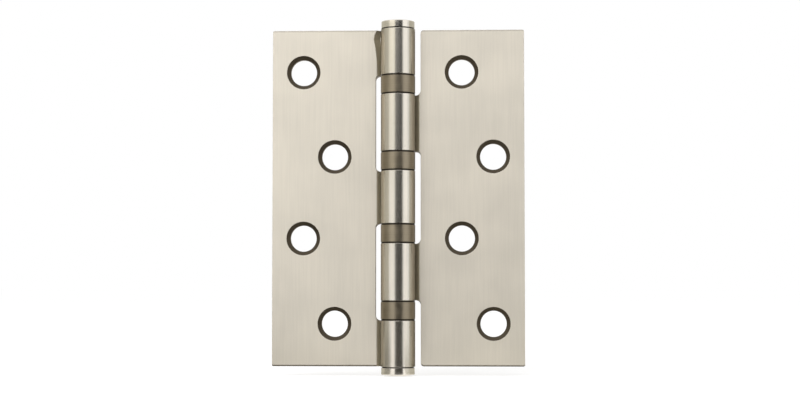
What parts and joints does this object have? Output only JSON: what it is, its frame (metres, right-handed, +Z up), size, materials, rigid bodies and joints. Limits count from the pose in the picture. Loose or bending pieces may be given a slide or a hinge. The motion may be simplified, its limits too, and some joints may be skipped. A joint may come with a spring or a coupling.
{
  "type": "butt hinge",
  "caption": "Flat steel door hinge, two countersunk leaves on one pin with thrust bearings between the knuckles and domed end buttons.",
  "frame": {"origin": "middle of the pin, on its axis", "axes": "+Z up along the pin, +X from the frame leaf to the door leaf when the hinge is open flat, -Y out of the countersunk faces, +Y out of the backs that lie on the wood"},
  "size_m": [0.0762, 0.0104, 0.1072],
  "materials": {
    "leaf_steel": "fine upright grain, satin",
    "button_steel": "turned and lightly polished",
    "sleeve_steel": "matt, slightly darker",
    "pin_steel": "ground",
    "race_steel": "hardened, dark",
    "ball_steel": "polished"
  },
  "bodies": {
    "frame_side": {"frame_leaf": "leaf_steel", "hinge_pin": "pin_steel", "top_button": "button_steel", "bottom_button": "button_steel", "bearing_1_upper_race": "race_steel", "bearing_2_lower_race": "race_steel", "bearing_2_sleeve": "sleeve_steel", "bearing_3_upper_race": "race_steel", "bearing_4_lower_race": "race_steel", "bearing_4_sleeve": "sleeve_steel"},
    "door_side": {"door_leaf": "leaf_steel", "bearing_1_lower_race": "race_steel", "bearing_1_sleeve": "sleeve_steel", "bearing_2_upper_race": "race_steel", "bearing_3_lower_race": "race_steel", "bearing_3_sleeve": "sleeve_steel", "bearing_4_upper_race": "race_steel"},
    "balls_1": {"bearing_1_balls": "ball_steel"},
    "balls_2": {"bearing_2_balls": "ball_steel"},
    "balls_3": {"bearing_3_balls": "ball_steel"},
    "balls_4": {"bearing_4_balls": "ball_steel"}
  },
  "joints": [
    {"name": "leaf_swing", "type": "hinge", "parent": "frame_side", "child": "door_side", "pos_m": [0, 0, 0], "axis": [0, 0, -1], "range_deg": [-110, 180]},
    {"name": "balls_1_roll", "type": "hinge", "parent": "frame_side", "child": "balls_1", "pos_m": [0, 0, 0.03402], "axis": [0, 0, -1], "range_deg": [-56, 91]},
    {"name": "balls_2_roll", "type": "hinge", "parent": "frame_side", "child": "balls_2", "pos_m": [0, 0, 0.01093], "axis": [0, 0, -1], "range_deg": [-56, 91]},
    {"name": "balls_3_roll", "type": "hinge", "parent": "frame_side", "child": "balls_3", "pos_m": [0, 0, -0.01093], "axis": [0, 0, -1], "range_deg": [-56, 91]},
    {"name": "balls_4_roll", "type": "hinge", "parent": "frame_side", "child": "balls_4", "pos_m": [0, 0, -0.03402], "axis": [0, 0, -1], "range_deg": [-56, 91]}
  ],
  "couplings": [
    {"joint": "balls_1_roll", "follows": "leaf_swing", "ratio": 0.5},
    {"joint": "balls_2_roll", "follows": "leaf_swing", "ratio": 0.5},
    {"joint": "balls_3_roll", "follows": "leaf_swing", "ratio": 0.5},
    {"joint": "balls_4_roll", "follows": "leaf_swing", "ratio": 0.5}
  ]
}
